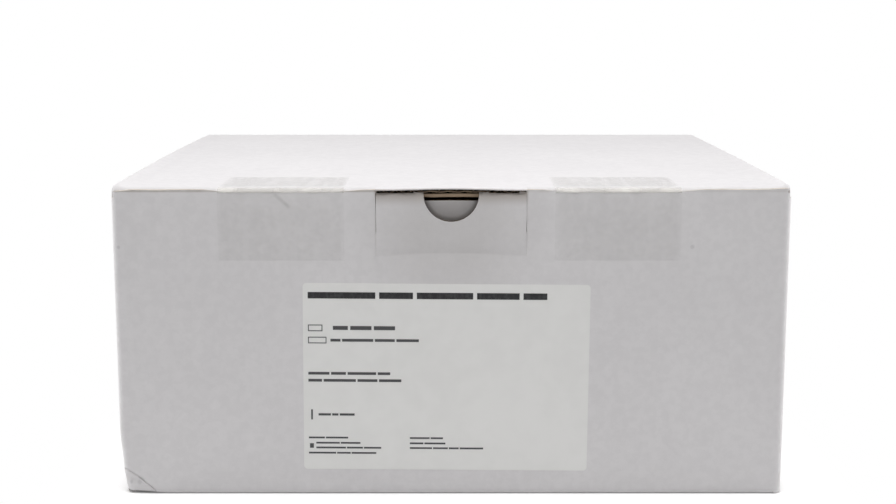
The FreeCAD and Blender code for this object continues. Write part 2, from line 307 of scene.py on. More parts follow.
def trim_walls():
    """Slots, raw edges and steps of the walls, before any flap is drawn out of them."""
    cut("z", slit_top, lambda p, n: abs(n.y) > 0.9 or in_arc(p))
    slit(lambda p, d: abs(d.z) > 0.9 and near(abs(p.x), side_fold) and p.z < slit_top)
    cut("z", corner_lift, lambda p, n: in_arc(p))
    remove(lambda p, n: in_arc(p) and p.z < corner_lift)
    cut("z", side_rim, lambda p, n: in_arc(p))
    remove(lambda p, n: in_arc(p) and p.z > side_rim and (p.y > 0 or abs(n.x) > abs(n.y)))
    for level in (-inner_base_end, inner_base_end, dust_front):
        cut("y", level, lambda p, n: on_side(p))
    for level in (slit_side, slit_dust):
        cut("z", level, lambda p, n: on_side(p))

    def beside_inner_base(p):
        return abs(p.y) > inner_base_end

    def beside_dust(p):
        return p.y < dust_front or p.y > dust_back

    slit(
        lambda p, d: on_side(p)
        and abs(d.z) > 0.9
        and near(abs(p.y), inner_base_end)
        and p.z < slit_side
    )
    slit(
        lambda p, d: on_side(p)
        and abs(d.z) > 0.9
        and (near(p.y, dust_front) or near(p.y, dust_back))
        and p.z > slit_dust
    )
    cut("z", side_raw, lambda p, n: on_side(p) and beside_inner_base(p))
    remove(lambda p, n: on_side(p) and beside_inner_base(p) and p.z < side_raw)
    cut("z", inner_base, lambda p, n: on_side(p) and not beside_inner_base(p))
    remove(lambda p, n: on_side(p) and not beside_inner_base(p) and p.z < inner_base)
    cut("z", side_rim, lambda p, n: on_side(p) and beside_dust(p))
    remove(lambda p, n: on_side(p) and beside_dust(p) and p.z > side_rim)
    cut("z", dust_top, lambda p, n: on_side(p) and not beside_dust(p))
    remove(lambda p, n: on_side(p) and not beside_dust(p) and p.z > dust_top)
    # glued joint: the tab is shorter than the wall, which goes on beside it as a raw edge
    for level in (glue_tab_low, glue_tab_high):
        cut("z", level, lambda p, n: at_joint(p))
    remove(lambda p, n: at_joint(p) and not glue_tab_low < p.z < glue_tab_high)


def tongue_and_notch():
    """Two slits free a tongue in the front wall, and a round notch goes into its upper edge."""
    cut("z", seam_height, lambda p, n: on_front(p))
    cut("z", edge_row, lambda p, n: on_front(p))
    outer = slot_half + slit_width / 2
    for x in (-outer, -tongue_half, tongue_half, outer):
        cut("x", x, lambda p, n: on_front(p) and p.z > seam_height)
    remove(lambda p, n: on_front(p) and tongue_half < abs(p.x) < outer and p.z > seam_height)
    cut("z", tongue_top, lambda p, n: on_front(p) and abs(p.x) < tongue_half)
    remove(lambda p, n: on_front(p) and abs(p.x) < tongue_half and p.z > tongue_top)
    wide, low = 15.0, 109.0
    for x in (-wide, wide):
        cut("x", x, lambda p, n: on_front(p) and abs(p.x) < tongue_half and p.z > seam_height)
    cut("z", low, lambda p, n: on_front(p) and abs(p.x) < tongue_half and p.z > seam_height)
    remove(lambda p, n: on_front(p) and abs(p.x) < wide and p.z > low)
    notch_reach = notch_radius + 0.1
    bpy.ops.mesh.select_mode(type="VERT")
    bpy.ops.mesh.select_all(action="DESELECT")
    bpy.ops.mesh.primitive_circle_add(
        vertices=64,
        radius=notch_radius,
        location=(0.0, front, notch_middle),
        rotation=(math.pi / 2, 0.0, 0.0),
    )
    pick(
        "VERT",
        lambda p: on_front(p)
        and math.hypot(p.x, p.z - notch_middle) < notch_reach
        and p.z > notch_middle + 0.1,
    )
    bpy.ops.mesh.delete(type="VERT")
    up = {"value": (0, 0, tongue_top - notch_middle)}
    for side in (-1, 1):
        pick("VERT", lambda p: near(p.x, side * notch_radius) and near(p.z, notch_middle))
        bpy.ops.mesh.extrude_region_move(TRANSFORM_OT_translate=up)
    pick(
        "EDGE",
        lambda p, d: on_front(p)
        and (
            (near(abs(p.x), wide) and p.z > low)
            or (near(p.z, low) and abs(p.x) < wide)
            or (abs(p.x) < notch_reach and notch_middle - notch_reach < p.z < tongue_top - 0.1)
        ),
    )
    bpy.ops.mesh.bridge_edge_loops()


def on_tongue(p):
    return on_front(p) and abs(p.x) < tongue_half + 0.05 and p.z > seam_height + 0.05


def shape_tongue():
    """The slits narrow downwards, the fold line arches, and the tongue leans out of the wall."""
    for level in (seam_height, 107.0, 115.0, edge_row, tongue_top, front_top):
        share = ((level - seam_height) / (front_top - seam_height)) ** 3
        for side, widest in ((-1, slit_width), (1, right_slit_width)):
            closing = (slit_width - slit_end - (widest - slit_end) * share) / 2
            for x, way in ((tongue_half, 1), (slot_half + slit_width / 2, -1)):
                shift(
                    lambda p: on_front(p) and near(p.z, level) and near(p.x, side * x),
                    (side * way * closing, 0, 0),
                )
    for level in (103.0, 110.5, 111.8):
        cut("z", level, lambda p, n: on_tongue(p))
    for below in (7.3, 4.8, 2.9, 2.1, 1.0, 0.6, 0.3):
        cut("z", tongue_top - below, lambda p, n: on_tongue(p))
    for x in (-22.5, -4.5, 4.5, 22.5):
        cut("x", x, lambda p, n: on_tongue(p))

    def arch(x):
        return score_rise * (1 - (x / tongue_half) ** 2)

    def on_score(p, inset, slack):
        on_arch = near(p.z, seam_height + arch(p.x), slack)
        return on_front(p) and abs(p.x) < tongue_half - inset and on_arch

    for x in (-27, -22.5, -18, -15, -9, -4.5, 0, 4.5, 9, 15, 18, 22.5, 27):
        shift(lambda p: on_front(p) and near(p.z, seam_height) and near(p.x, x), (0, 0, arch(x)))
    crease(lambda p, d: on_score(p, 0, 0.3) and abs(d.x) > 0.9, 0.6, 2)
    shift(lambda p: on_score(p, 1, 0.12), (0, score_dip, 0))
    shift(lambda p: on_tongue(p) and 106.0 < p.z < 112.6, (0, -0.45, 0), 12.0)
    shift(lambda p: on_tongue(p) and abs(p.x) < 6 and 109 < p.z < 113, (0, -0.12, 0), 9.0)
    shift(
        lambda p: abs(p.x) < tongue_half + 0.05 and p.y < front + 1 and near(p.z, tongue_top),
        (0, 1.6, 0),
        2.8,
        "SHARP",
    )


def press_wall_edge():
    """Under each strip of tape the front wall's cut edge is pressed in. Elsewhere it waves."""
    pressed_in, pressed_down = 0.4, 0.75
    for left, right in tape_reach:
        shift(
            lambda p: on_front(p) and near(p.z, front_top) and left < p.x < right,
            (0, pressed_in, -pressed_down),
        )
    for side, rise in ((-1, -0.6), (1, 0.45)):
        shift(
            lambda p: side * p.x > 128 and p.y < front + 3.3 and near(p.z, front_top),
            (0, 0, rise),
        )
    bare = ((-117, 0.2), (-99, -0.05), (-36, 0.15), (108, -0.1), (117, 0.05), (126, -0.15))
    taped = ((-81, 0.4), (-63, 0.25), (-54, 0.4), (54, 0.1), (63, 0.3), (81, 0.3))
    for drops, y, z in (
        (bare, front, front_top),
        (taped, front + pressed_in, front_top - pressed_down),
    ):
        for x, drop in drops:
            shift(lambda p: near(p.y, y) and near(p.z, z) and near(p.x, x), (0, 0, -drop))


def lid_and_tuck():
    """The lid runs forward from the back wall and folds down into the tuck flap."""
    shift(lambda p: on_back(p) and near(p.z, front_top), (0, 0, seam_drop))
    pull(lambda p, d: on_back(p) and near(p.z, top), (0, tuck_face - back, 0))
    pull(lambda p, d: near(p.y, tuck_face) and near(p.z, top), (0, 0, -tuck_length))
    crease(lambda p, d: abs(d.x) > 0.9 and near(p.z, top) and (on_back(p) or near(p.y, tuck_face)))
    fold_height = top - fold_radius
    for side in (-1, 1):
        out = side * (lid_half - side_fold)
        pull(
            lambda p, d: near(p.x, side * side_fold, 0.35)
            and p.z > fold_height
            and front + 1 < p.y < back_fold
            and abs(d.x) < 0.1,
            (out * 0.35, 0, 0),
            (out * 0.35, 0, 0),
            (out * 0.18, 0, -0.12),
            (out * 0.12, 0, -0.3),
        )
    for side in (-1, 1):
        cut("x", side * tuck_half, lambda p, n: near(p.y, tuck_face) and p.z < fold_height)
    remove(lambda p, n: near(p.y, tuck_face) and p.z < fold_height and abs(p.x) > tuck_half)
    pick("VERT", lambda p: near(abs(p.x), tuck_half) and near(p.z, top - tuck_length))
    bpy.ops.mesh.bevel(offset=tuck_corner, segments=8, profile=0.5, affect="VERTICES")
    for side in (-1, 1):
        cut("x", side * slot_half, lambda p, n: p.y < tuck_fold - 0.01 and p.y > front + 1)
    cut("z", top - slot_floor, lambda p, n: near(p.y, tuck_face) and abs(p.x) < slot_half)
    remove(
        lambda p, n: front + 1 < p.y < tuck_fold - 0.01
        and abs(p.x) < slot_half
        and p.z > top - slot_floor
    )


def dent_tuck():
    """Behind the thumb notch the tuck flap is pushed in a little."""
    for level in (98.0, 104.0, 109.0, 113.0, 116.0, 119.0):
        cut("z", level, lambda p, n: near(p.y, tuck_face))
    shift(lambda p: near(p.y, tuck_face) and abs(p.x) < 8 and 112 < p.z < 119.5, (0, 1.3, 0), 16.0)


def flaps():
    """Base and dust flaps, drawn out of the walls' edges and folded in."""
    pull(lambda p, d: on_front(p) and near(p.z, 0), (0, back - base_seam / 2, 0))
    pull(lambda p, d: on_back(p) and near(p.z, 0), (0, -back + base_seam / 2, 0))
    for side in (-1, 1):
        for level, reach in ((inner_base, base_reach), (dust_top, dust_reach)):
            pull(
                lambda p, d: near(p.x, side * half_width) and near(p.z, level) and abs(d.y) > 0.9,
                (-side * reach, 0, 0),
            )
    crease(
        lambda p, d: abs(d.x) > 0.9 and near(p.z, 0) and (on_front(p) or on_back(p)),
        profile=0.75,
    )
    crease(
        lambda p, d: abs(d.y) > 0.9
        and on_side(p)
        and (near(p.z, inner_base) or near(p.z, dust_top))
    )


def extend_joint():
    """Beside the glue tab the back wall runs on to the left wall as a raw edge."""
    start = -half_width + board + 0.1 + fold_radius
    pull(
        lambda p, d: on_back(p)
        and near(p.x, start, 0.05)
        and abs(d.z) > 0.9
        and not glue_tab_low < p.z < glue_tab_high,
        (-fold_radius, 0, 0),
    )


def crush_depth(p):
    """How far a point lies beyond the slanting crease at the bottom left front corner."""
    return -(
        crush_way[0] * (p.x + half_width)
        + crush_way[1] * (p.y - front)
        + crush_way[2] * (p.z - crush_up)
    )


def crush_corner():
    """The bottom left front corner was knocked in: one slanting crease, and a dented tip."""

    def on_base(p, n):
        return near(p.z, 0) and p.x < -105 and p.y < -100

    def on_left(p, n):
        return near(p.x, -half_width) and p.y < -100 and p.z < 30

    def on_walls(p, n):
        return p.x < -108 and p.y < -99 and p.z < 30 and abs(n.z) < 0.9

    columns = (-129, -123, -120, -114)
    depths = (-119, -116, -112, -108)
    for axis, levels, test in (
        ("x", columns, lambda p, n: on_front(p) and p.x < -108 and p.z < 30),
        ("z", (5, 6.5, 10, 12, 14, 20), on_walls),
        ("y", depths, on_left),
        ("y", depths, on_base),
        ("x", columns, on_base),
    ):
        for level in levels:
            cut(axis, level, test)
    for depth in (0.0, 0.45, 0.9):
        if pick("FACE", lambda p, n: crush_depth(p) > -4 and abs(n.z) < 0.95):
            bpy.ops.mesh.bisect(
                plane_co=(
                    -half_width - crush_way[0] * depth,
                    front - crush_way[1] * depth,
                    crush_up - crush_way[2] * depth,
                ),
                plane_no=crush_way,
                threshold=0.001,
            )
    step = 0.5
    for k in range(20):
        push = (k + 0.5) * step * crush_push
        shift(
            lambda p: k * step < crush_depth(p) - 0.01 <= (k + 1) * step,
            [push * part for part in crush_shift],
        )
    shift(
        lambda p: p.z > 1 and p.x < -110 and p.y < front + 3 and near(crush_depth(p), 0.45, 0.16),
        (0.1, 0.65, 0.1),
    )
    shift(lambda p: math.dist(p, (-132.0, front + 0.6, 5.8)) < 1.6, (0.2, 0.7, 0), 2.2)
    shift(lambda p: math.dist(p, (-128.4, front + 0.5, 5.2)) < 1.6, (0, 0.7, 0), 2.2)
    shift(lambda p: p.x < -131.0 and p.y < front + 4 and p.z < 11, (1.1, 0.2, 0), 15.0)
    shift(lambda p: p.z < 2 and p.x < -127 and p.y < front + 4, (0, 0, 0.15), 14.0)


def edge_rise(side, y):
    """How far the lid's side edge stands above its panel: nothing at the back, most further on."""
    full_at = -20.0 if side < 0 else -100.0
    share = min(1.0, max(0.0, (back_fold - y) / (back_fold - full_at)))
    share = math.sin(share * math.pi / 2)
    if side < 0:
        share -= 0.28 * min(1.0, max(0.0, (-30.0 - y) / 88.0))
    return edge_lift * share


def lift_lid_edges():
    """The dust flaps' springy folds push up the lid's side edges."""
    inner = side_fold - 2.4
    for side in (-1, 1):
        cut("x", side * inner, lambda p, n: p.z > top - 0.5 and n.z > 0.5)
        steps = ((inner, side_fold, 0.2), (side_fold, side_fold + 0.8, 0.65), (side_fold + 0.8, 140, 1))
        for level in [-120] + lid_rows:
            for start, end, share in steps:
                shift(
                    lambda p: start - 0.05 < side * p.x < end - 0.05
                    and (near(p.y, level) or p.y < front_fold + board + touch_gap + 0.05 > level + 1)
                    and p.y > front + 1
                    and p.z > dust_top + 0.3,
                    (0, 0, share * edge_rise(side, level)),
                )


def relax_panels():
    """Cut boards are never quite flat: the walls and the lid give a little between their folds."""
    for level in lid_rows:
        cut("y", level, lambda p, n: p.z > top - 1.2 and n.z > 0.5)
    lift_lid_edges()
    dips = [
        ((-104, front, 52), (0, 0.3, 0), 30),
        ((106, front, 60), (0, 0.35, 0), 34),
        ((half_width, -20, 60), (-0.7, 0, 0), 62),
        ((half_width, 70, 75), (-0.3, 0, 0), 36),
        ((-half_width, 10, 66), (0.8, 0, 0), 60),
        ((-half_width, -70, 45), (0.35, 0, 0), 34),
        ((30, back, 64), (0, -0.7, 0), 60),
        ((-70, back, 55), (0, -0.4, 0), 44),
        ((0, 0, top), (0, 0, -0.55), 60),
        ((-80, -20, top), (0, 0, -0.15), 40),
        ((86, 30, top), (0, 0, -0.18), 44),
        ((0, -82, top), (0, 0, -0.12), 24),
    ]
    for place, move, reach in dips:
        shift(lambda p: math.dist(p, place) < 9.5, move, reach)


def carton_board():
    piece = sleeve()
    trim_walls()
    extend_joint()
    tongue_and_notch()
    shape_tongue()
    press_wall_edge()
    lid_and_tuck()
    dent_tuck()
    flaps()
    crush_corner()
    relax_panels()
    close()
    return piece


carton = carton_board()

# ---------------------------------------------------------------- finishes ----
class Shades:
    """The nodes of one finish or of one shared effect."""

    def __init__(self, tree):
        self.tree = tree

    def add(self, kind, sockets=None, **settings):
        made = self.tree.nodes.new(kind)
        for key, value in settings.items():
            setattr(made, key, value)
        for key, value in (sockets or {}).items():
            self.put(made.inputs[key], value)
        return made

    def put(self, socket, value):
        """Links an input to a node or a socket, or sets it to a plain value."""
        if isinstance(value, bpy.types.Node):
            value = value.outputs[0]
        if isinstance(value, bpy.types.NodeSocket):
            self.tree.links.new(value, socket)
        else:
            socket.default_value = value

    def math(self, operation, first, second=0.0):
        return self.add("ShaderNodeMath", {0: first, 1: second}, operation=operation)

    def each(self, operation, *values):
        """Puts one operation between all the values, such as a sum or the largest of them."""
        made = values[0]
        for value in values[1:]:
            made = self.math(operation, made, value)
        return made

    def times(self, *values):
        return self.each("MULTIPLY", *values)

    def weigh(self, *pairs):
        """Adds up values, each times its weight."""
        return self.each("ADD", *[self.math("MULTIPLY", value, weight) for value, weight in pairs])

    def band(self, value, start, end, low=0.0, high=1.0):
        """Goes smoothly from low to high while the value goes from start to end."""
        return self.add(
            "ShaderNodeMapRange",
            {"Value": value, "From Min": start, "From Max": end, "To Min": low, "To Max": high},
            interpolation_type="SMOOTHSTEP",
        )

    def zone(self, value, start, end, low=0.0, high=1.0):
        """A band whose start and end are in millimetres."""
        return self.band(value, start * mm, end * mm, low, high)

    def away(self, value, middle):
        """How far a value lies from a middle in millimetres."""
        return self.math("ABSOLUTE", self.math("SUBTRACT", value, middle * mm))

    def split(self, place):
        return self.add("ShaderNodeSeparateXYZ", {0: place}).outputs

    def gap(self, place, point):
        """How far a place lies from a point in millimetres."""
        point = [part * mm for part in point]
        made = self.add("ShaderNodeVectorMath", {0: place, 1: point}, operation="DISTANCE")
        return made.outputs["Value"]

    def spots(self, place, marks):
        """Soft round flecks, each with its centre and radius in millimetres."""
        found = []
        for centre, radius in marks:
            found.append(self.zone(self.gap(place, centre), radius, radius * 0.4))
        return self.each("MAXIMUM", *found)

    def blend(self, share, first, second, strength=1.0):
        """Goes from the first colour to the second, by a share that a strength may weaken."""
        if strength < 1.0:
            share = self.math("MULTIPLY", share, strength)
        made = self.add("ShaderNodeMix", {0: share}, data_type="RGBA")
        for socket, colour in ((made.inputs[6], first), (made.inputs[7], second)):
            self.put(socket, (*colour, 1.0) if isinstance(colour, tuple) else colour)
        return made.outputs[2]

    def noise(self, place, scale, detail=3.0, stretch=None):
        if stretch:
            place = self.add("ShaderNodeVectorMath", {0: place, 1: stretch}, operation="MULTIPLY")
        made = self.add("ShaderNodeTexNoise", {"Vector": place, "Scale": scale, "Detail": detail})
        return made.outputs[0]


def effect(name, inputs, result):
    """A shared effect: a node group with named inputs and one result."""
    group = bpy.data.node_groups.new(name, "ShaderNodeTree")
    for label, kind in inputs:
        group.interface.new_socket(name=label, in_out="INPUT", socket_type=kind)
    for label in result:
        group.interface.new_socket(name=label, in_out="OUTPUT", socket_type="NodeSocketFloat")
    s = Shades(group)
    return group, s, s.add("NodeGroupInput").outputs, s.add("NodeGroupOutput").inputs


def paper_fibre():
    """Pulp paper: a cloudy tone at hand's width, and the short fibres of the surface."""
    given = [("Place", "NodeSocketVector")]
    group, s, inputs, result = effect("paper_fibre", given, ["Cloud", "Fibre"])
    place = inputs["Place"]
    cloud = s.weigh((s.noise(place, 22.0), 0.5), (s.noise(place, 140.0, 2.0), 0.5))
    fine = s.noise(place, 900.0, 4.0)
    upright = s.noise(place, 700.0, 3.0, (1, 1, 0.25))
    s.put(result["Cloud"], cloud)
    s.put(result["Fibre"], s.weigh((fine, 0.5), (upright, 0.5)))
    return group


def flute_wave(s, along):
    return s.math("SINE", s.math("MULTIPLY", along, 2 * math.pi / (flute_pitch * mm)))


def flute_wash():
    """The flutes telegraph through the liner as faint waves, across the way each panel runs."""
    given = [("Place", "NodeSocketVector"), ("Facing", "NodeSocketVector")]
    group, s, inputs, result = effect("flute_wash", given, ["Wave"])
    x, y, z = s.split(inputs["Place"])
    facing_x = s.split(inputs["Facing"])["X"]
    sideways = s.math("GREATER_THAN", s.math("ABSOLUTE", facing_x), 0.7)
    across = s.add("ShaderNodeMix", {0: sideways, 2: x, 3: y}, data_type="FLOAT")
    s.put(result["Wave"], flute_wave(s, across))
    return group


def flute_section():
    """A cut edge of the board: two liners and the fluted sheet between them, and its hollows."""
    given = [("Place", "NodeSocketVector"), ("Depth", "NodeSocketFloat")]
    group, s, inputs, result = effect("flute_section", given, ["Paper"])
    x, y, z = s.split(inputs["Place"])
    depth = inputs["Depth"]
    wave = flute_wave(s, s.math("ADD", x, y))
    middle = s.math("ADD", s.math("MULTIPLY", wave, 0.33), 0.5)
    fluted = s.band(s.math("ABSOLUTE", s.math("SUBTRACT", depth, middle)), 0.13, 0.06)
    from_core = s.math("ABSOLUTE", s.math("SUBTRACT", depth, 0.5))
    s.put(result["Paper"], s.math("MAXIMUM", fluted, s.band(from_core, 0.36, 0.41)))
    return group


fibre_effect = paper_fibre()
wash_effect = flute_wash()
section_effect = flute_section()


def finish(name):
    """A new material, with its nodes, its shader and the place on the object."""
    material = bpy.data.materials.new(name)
    material.use_nodes = True
    s = Shades(material.node_tree)
    place = s.add("ShaderNodeTexCoord").outputs["Object"]
    return material, s, material.node_tree.nodes["Principled BSDF"], place


def paper(s, place):
    """The cloud and the fibre of pulp paper."""
    made = s.add("ShaderNodeGroup", {"Place": place}, node_tree=fibre_effect)
    return made.outputs["Cloud"], made.outputs["Fibre"]


def coat(s, shader, colour, grain, rough, gloss, relief, depth):
    """Sets a finish's colour, its roughness along a grain, its gloss and its fine relief."""
    s.put(shader.inputs["Base Color"], colour)
    s.put(shader.inputs["Roughness"], s.band(grain, 0.3, 0.7, *rough))
    s.put(shader.inputs["Specular IOR Level"], gloss)
    sockets = {"Height": relief, "Distance": depth, "Strength": 1.0}
    s.put(shader.inputs["Normal"], s.add("ShaderNodeBump", sockets))


def white_liner():
    material, s, shader, place = finish("white_liner")
    cloud, fibre = paper(s, place)
    sockets = {"Place": place, "Facing": s.add("ShaderNodeTexCoord").outputs["Normal"]}
    wave = s.add("ShaderNodeGroup", sockets, node_tree=wash_effect).outputs["Wave"]
    x, y, z = s.split(place)
    tone = s.band(cloud, 0.35, 0.65)
    colour = s.blend(tone, (0.80, 0.782, 0.792), (0.825, 0.807, 0.816))
    mottle = s.band(s.noise(place, 380.0), 0.38, 0.62)
    colour = s.blend(mottle, colour, (0.62, 0.605, 0.612), 0.12)
    # the flutes' valleys are painted a little darker: painted shade in the faint waves
    valley_shade = s.band(wave, 1.0, -1.0, 0.0, 0.03)
    colour = s.blend(valley_shade, colour, (0.70, 0.68, 0.685))
    # the tongue round the notch is a little darker, in blotches
    notch_darkening = s.times(
        s.zone(s.gap(place, (0.0, front, 112.0)), 46.0, 9.0),
        s.zone(y, wall_inside, wall_core),
        s.band(s.noise(place, 70.0), 0.25, 0.75, 0.7, 1.0),
    )
    colour = s.blend(notch_darkening, colour, (0.56, 0.54, 0.53), 0.5)
    # the tongue's upper edge is painted darker brown towards its top: partly worn brown, partly painted
    # shade under the lid's lip
    worn_and_shaded_edge = s.times(
        s.zone(z, top - 7.6, top - 1.3),
        s.zone(s.math("ABSOLUTE", x), 31.0, 29.5),
        s.zone(y, wall_inside + 0.4, wall_inside + 0.2),
        s.zone(z, top - 0.6, top - 0.9),
    )
    colour = s.blend(worn_and_shaded_edge, colour, (0.42, 0.37, 0.33), 0.75)
    # behind the notch the tuck flap is a little browner, with a painted shadow ring along the notch's
    # edge where the front wall shades the flap
    on_flap = s.times(s.zone(y, wall_core, wall_inside), s.zone(z, top - 3.0, top - 4.0))
    flap = s.times(on_flap, s.zone(y, -114.0, -115.5))
    colour = s.blend(flap, colour, (0.66, 0.60, 0.55), 0.1)
    from_notch = s.gap(place, (0.0, tuck_face, notch_middle - 0.4))
    notch_shadow_ring = s.times(
        s.zone(from_notch, notch_radius - 2.2, notch_radius),
        s.zone(from_notch, notch_radius + 1.5, notch_radius + 1.0),
        on_flap,
    )
    colour = s.blend(notch_shadow_ring, colour, (0.16, 0.14, 0.13), 0.6)
    # scuffed folds: the box's long edges lose a little of their clean white
    off_sides = s.math("SUBTRACT", half_width * mm, s.math("ABSOLUTE", x))
    off_ends = s.math("SUBTRACT", back * mm, s.math("ABSOLUTE", y))
    off_top = s.math("SUBTRACT", top * mm, z)
    folds = (
        (off_sides, off_ends),
        (off_sides, off_top),
        (off_ends, off_top),
        (off_ends, z),
        (off_sides, z),
    )
    nearest = s.each("MINIMUM", *[s.math("MAXIMUM", *fold) for fold in folds])
    scuffed = s.times(s.zone(nearest, 2.4, 0.3), s.band(s.noise(place, 160.0, 4.0), 0.5, 0.68))
    colour = s.blend(scuffed, colour, (0.60, 0.565, 0.53), 0.35)
    # along the front wall's cut edge runs a brown line, stronger to the left: partly dust, partly
    # painted shadow under the lid's front edge
    on_wall = s.zone(y, front + 0.9, front + 0.5)
    dust = s.times(
        s.zone(z, front_top - 1.1, front_top - 0.8),
        s.zone(x, 0.0, -45.0, 0.25, 1.0),
        on_wall,
        s.band(s.noise(place, 120.0, 2.0), 0.3, 0.6, 0.55, 1.0),
    )
    colour = s.blend(dust, colour, (0.36, 0.30, 0.25), 0.5)
    # a painted highlight along the base fold, where the white floor would light it
    painted_base_highlight = s.times(s.zone(z, 1.6, 0.7), on_wall)
    colour = s.blend(painted_base_highlight, colour, (0.90, 0.885, 0.89), 0.8)
    flecks = [
        ((64.0, -60.0, top), 0.4),
        ((-40.0, back, 80.0), 0.5),
        ((half_width, 40.0, 70.0), 0.5),
        # this fleck is painted shade in the gap at the lid's right front corner
        ((133.5, front + 0.8, 124.2), 0.8),
        ((-half_width, -30.0, 50.0), 0.45),
    ]
    colour = s.blend(s.spots(place, flecks), colour, (0.25, 0.2, 0.16), 0.6)
    # soft rubs on the front wall, with painted shade in the two dents of the crushed corner; then a
    # painted shadow along that corner's lower edge
    rubs_and_dent_shade = [
        ((-131.0, front + 0.8, 4.8), 1.3),
        ((-127.4, front + 0.4, 4.7), 1.4),
        ((-132.3, front + 0.2, 102.0), 1.0),
        ((95.8, front, 102.2), 1.2),
    ]
    colour = s.blend(s.spots(place, rubs_and_dent_shade), colour, (0.30, 0.29, 0.30), 0.22)
    # painted shadow in the gap under the crushed corner's lifted lower edge
    painted_gap_shadow = s.times(
        s.zone(s.weigh((z, 1.0), (x, 0.03)), -2.5, -3.0),
        s.zone(x, -116.5, -124.0),
        s.zone(y, front + 6.0, front + 4.0),
    )
    colour = s.blend(painted_gap_shadow, colour, (0.12, 0.115, 0.11), 0.8)
    relief = s.weigh((wave, 0.2), (fibre, 0.9))
    coat(s, shader, colour, fibre, (0.66, 0.8), 0.12, relief, 0.00004)
    return material


def kraft_liner():
    material, s, shader, place = finish("kraft_liner")
    cloud, fibre = paper(s, place)
    colour = s.blend(s.band(cloud, 0.35, 0.65), (0.39, 0.29, 0.20), (0.46, 0.35, 0.25))
    colour = s.blend(s.band(fibre, 0.56, 0.68), colour, (0.60, 0.47, 0.33), 0.4)
    coat(s, shader, colour, fibre, (0.75, 0.9), 0.2, fibre, 0.00006)
    return material


def cut_board():
    material, s, shader, place = finish("cut_board")
    cloud, fibre = paper(s, place)
    x, y, z = s.split(place)
    depth = s.add("ShaderNodeAttribute", attribute_name="depth").outputs["Fac"]
    sockets = {"Place": place, "Depth": depth}
    section = s.add("ShaderNodeGroup", sockets, node_tree=section_effect)
    tone = s.band(fibre, 0.35, 0.65)
    brown = s.blend(tone, (0.31, 0.22, 0.14), (0.45, 0.335, 0.225))
    # between the papers the flute hollows are painted near black, as the shade inside them
    colour = s.blend(section.outputs["Paper"], (0.045, 0.03, 0.018), brown)
    # the white liner shows as a thin skin
    colour = s.blend(s.band(depth, 0.16, 0.1), colour, (0.72, 0.68, 0.65))
    # round the notch the cut edge is painted dark: the shade that falls on it
    notch_edge_shade = s.times(
        s.zone(s.math("ABSOLUTE", x), 12.5, 11.5),
        s.zone(y, front + 3.2, front + 3.0),
        s.zone(z, top - 3.0, top - 5.0),
        s.zone(z, 105.0, 106.0),
    )
    colour = s.blend(notch_edge_shade, colour, (0.10, 0.085, 0.07), 0.85)
    # the front wall's top edge is paler, a cream tone
    paler_top_edge = s.times(
        s.zone(y, front + 4.5, front + 3.5),
        s.zone(z, front_top - 1.9, front_top - 1.5),
    )
    pale = s.blend(tone, (0.66, 0.60, 0.53), (0.76, 0.71, 0.65))
    colour = s.blend(paler_top_edge, colour, pale, 0.85)
    coat(s, shader, colour, fibre, (0.8, 0.95), 0.15, fibre, 0.00012)
    return material


def clear_film():
    material, s, shader, place = finish("clear_film")
    x, y, z = s.split(place)
    streak = s.noise(place, 300.0, 3.0, (1, 0.12, 0.12))
    cloud = s.noise(place, 60.0)
    grain = s.weigh((streak, 0.4), (s.noise(place, 520.0), 0.6))
    off = [s.away(x, (left + right) / 2) for left, right in tape_reach]
    from_middle = s.each("MINIMUM", *off)
    rim = s.each(
        "MAXIMUM",
        s.zone(from_middle, tape_half - 0.7, tape_half - 0.2),
        s.zone(z, tape_low + 0.7, tape_low + 0.3),
        s.zone(y, tape_back - 0.7, tape_back - 0.3),
    )
    # the veil is thin round the bend and thicker on the lid, and it fades at the strip's sides
    flat = s.math(
        "ADD",
        s.zone(y, film_face + 0.05, film_face + 0.3, 1.0, 0.3),
        s.zone(y, -118.0, -112.0, 0.0, 2.1),
    )
    side_fade = s.zone(from_middle, tape_half, tape_half - 2.2, 0.35, 1.0)
    veil = s.times(s.band(grain, 0.38, 0.62, 0.019, 0.031), flat, side_fade)
    # one slanting pucker runs down from the bend of the left strip
    across = s.weigh((x, 0.655), (z, 0.756))
    along = s.weigh((x, 0.756), (z, -0.655))
    pucker = s.times(s.zone(s.away(across, 47.3), 1.2, 0.2), s.zone(s.away(along, -129.8), 5.0, 3.0))
    # round the bend the stretched film catches the light in patches
    shine = s.times(
        s.zone(z, top - 1.8, top - 1.2),
        s.zone(y, -117.0, -119.5),
        s.band(s.noise(place, 110.0, 2.0, (1, 0.2, 0.2)), 0.28, 0.68, 0.6, 1.0),
    )
    marks = s.weigh((veil, 1.0), (rim, 0.004), (pucker, 0.05), (shine, 0.4))
    s.put(shader.inputs["Alpha"], marks)
    colour = s.blend(s.band(cloud, 0.35, 0.65), (0.21, 0.205, 0.165), (0.29, 0.285, 0.235))
    colour = s.blend(shine, colour, (0.93, 0.91, 0.87))
    coat(s, shader, colour, streak, (0.22, 0.38), 0.3, cloud, 0.00008)
    return material


def label_paper():
    material, s, shader, place = finish("label_paper")
    cloud, fibre = paper(s, place)
    colour = s.blend(s.band(cloud, 0.35, 0.65), (0.885, 0.88, 0.865), (0.915, 0.91, 0.895))
    coat(s, shader, colour, fibre, (0.5, 0.62), 0.3, fibre, 0.00002)
    return material


